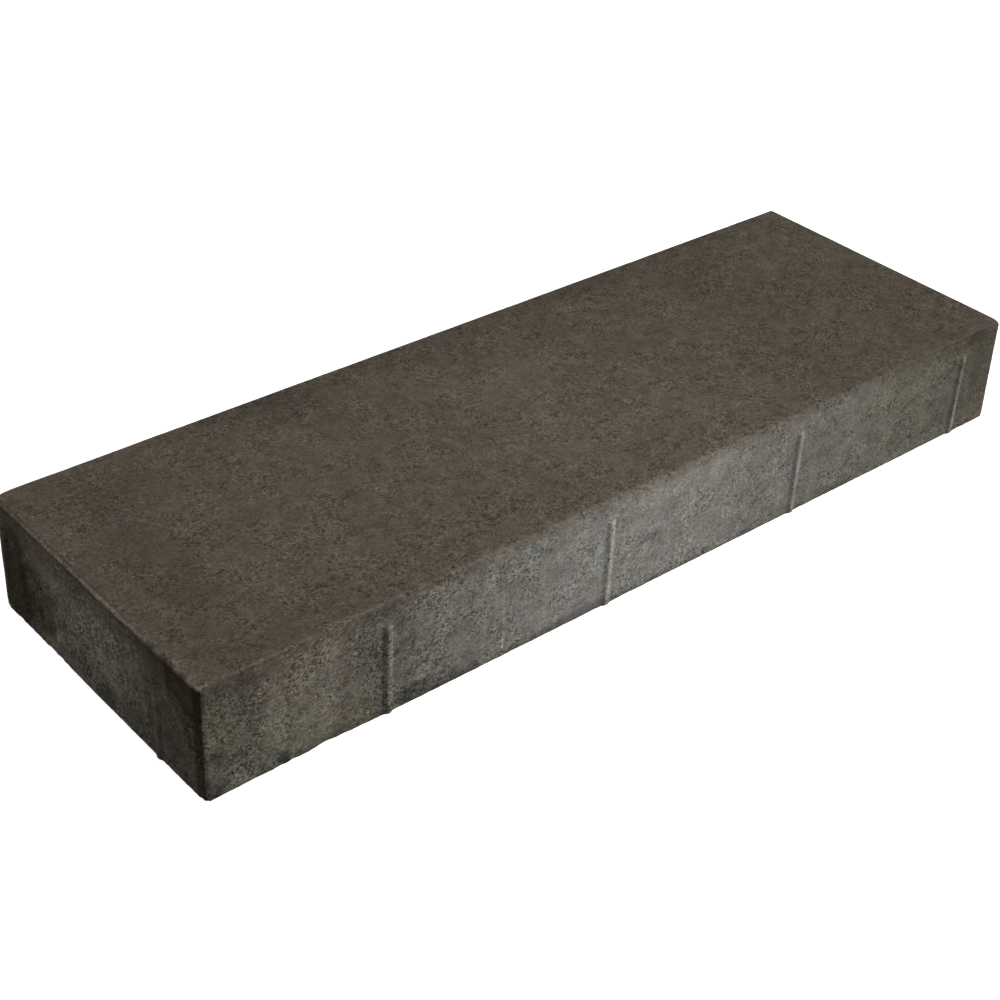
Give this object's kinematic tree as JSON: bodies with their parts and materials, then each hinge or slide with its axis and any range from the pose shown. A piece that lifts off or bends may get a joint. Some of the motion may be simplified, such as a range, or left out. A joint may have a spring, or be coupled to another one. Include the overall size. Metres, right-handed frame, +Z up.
{
  "type": "concrete paving slab",
  "caption": "Long rectangular pressed-concrete paving slab with a small bevel round its walking face and upright spacer ribs on its edges.",
  "frame": {"origin": "middle of the underside, at the level of the ground that the slab lies on", "axes": "+X along the length, +Y across the width, +Z up to the walking face"},
  "size_m": [0.6024, 0.2024, 0.07],
  "materials": {
    "concrete": "fine pressed concrete, dark brown-grey walking face and greyer sides, matt"
  },
  "bodies": {
    "root": {"paving_slab": "concrete"}
  },
  "joints": []
}
